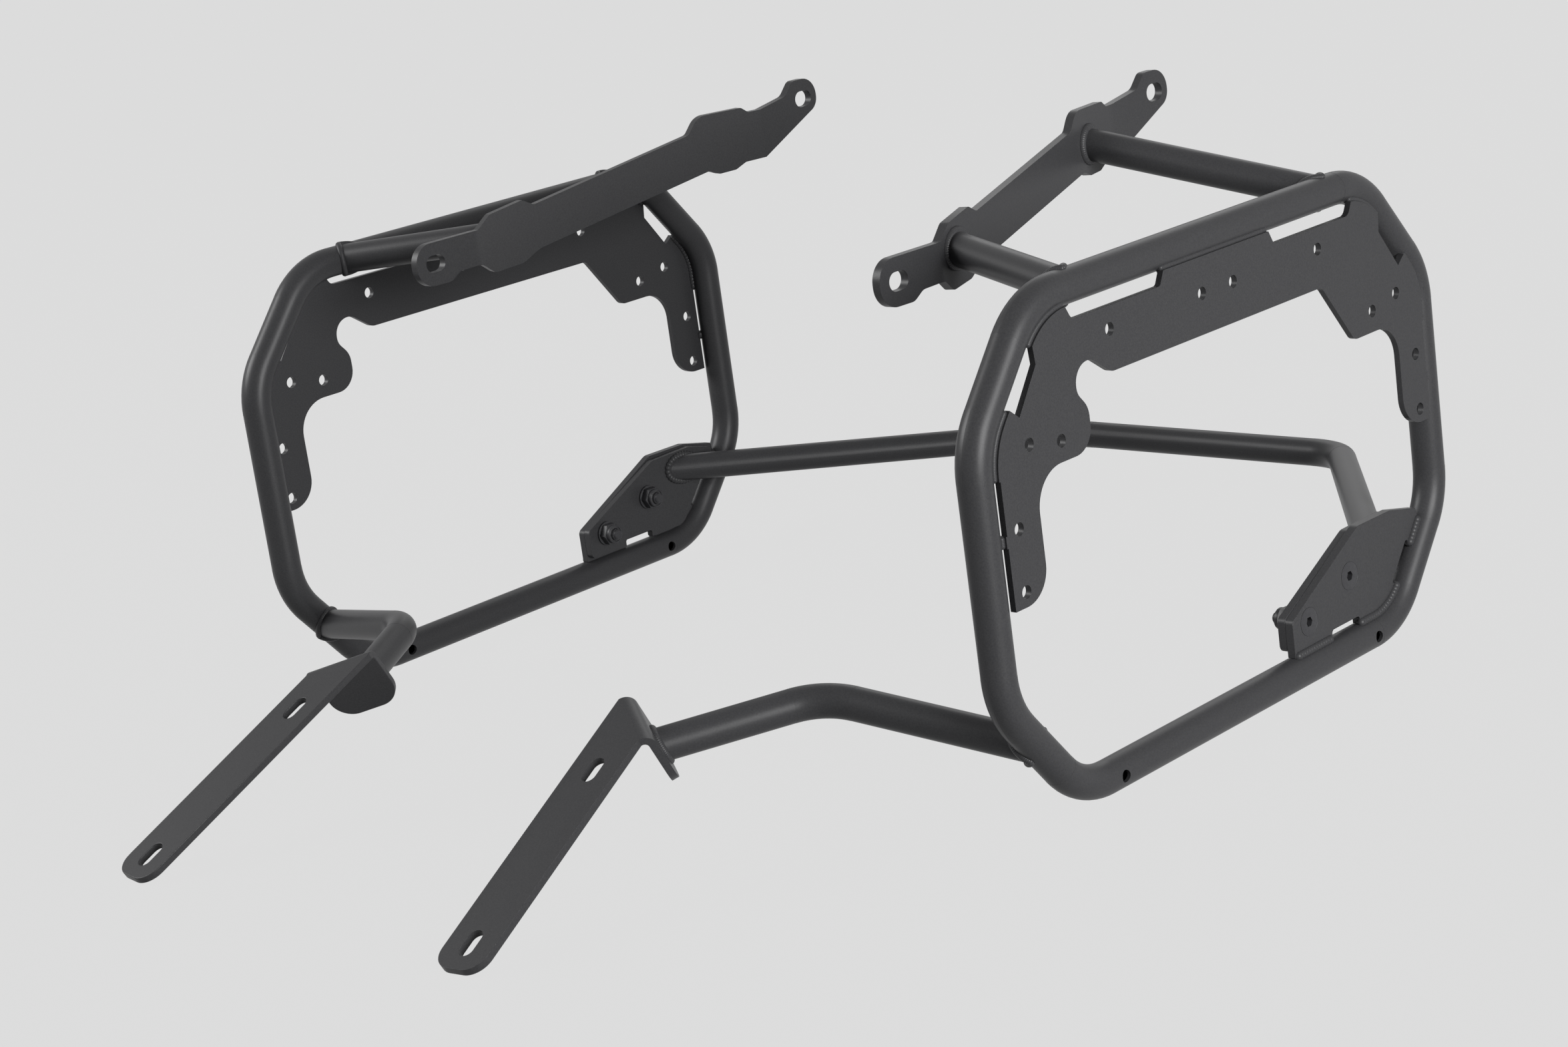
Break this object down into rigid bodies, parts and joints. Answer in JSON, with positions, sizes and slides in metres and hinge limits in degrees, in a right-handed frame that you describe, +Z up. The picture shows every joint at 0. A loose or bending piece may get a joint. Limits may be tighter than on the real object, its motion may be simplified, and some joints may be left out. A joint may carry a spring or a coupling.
{
  "type": "pannier frame",
  "caption": "Motorbike pannier frame: bent tube side hoops with drilled carrier plates, subframe rails, foot brackets and a bolted rear crossbar.",
  "frame": {"origin": "on the centre plane of the bike, on the axis of the two rear subframe bolts", "axes": "+X to the rider's left, +Y to the rear of the bike, +Z up, with the hoops level"},
  "size_m": [0.585, 0.7972, 0.3229],
  "materials": {
    "frame_black": "matte black powder coat",
    "fastener_black": "black zinc plated"
  },
  "bodies": {
    "root": {"hoop_left": "frame_black", "hoop_right": "frame_black", "carrier_plate_left": "frame_black", "carrier_plate_right": "frame_black", "subframe_rail_left": "frame_black", "subframe_rail_right": "frame_black", "upper_strut_front_left": "frame_black", "upper_strut_front_right": "frame_black", "upper_strut_rear_left": "frame_black", "upper_strut_rear_right": "frame_black", "lower_arm_left": "frame_black", "lower_arm_right": "frame_black", "foot_bracket_left": "frame_black", "foot_bracket_right": "frame_black", "bar_bracket_left": "frame_black", "bar_bracket_right": "frame_black", "crossbar_flange_left": "frame_black", "crossbar_flange_right": "frame_black", "screw_front_left": "fastener_black", "screw_front_right": "fastener_black", "screw_rear_left": "fastener_black", "screw_rear_right": "fastener_black", "washer_front_left": "fastener_black", "washer_front_right": "fastener_black", "washer_rear_left": "fastener_black", "washer_rear_right": "fastener_black", "nut_front_left": "fastener_black", "nut_front_right": "fastener_black", "nut_rear_left": "fastener_black", "nut_rear_right": "fastener_black", "crossbar": "frame_black"}
  },
  "joints": []
}
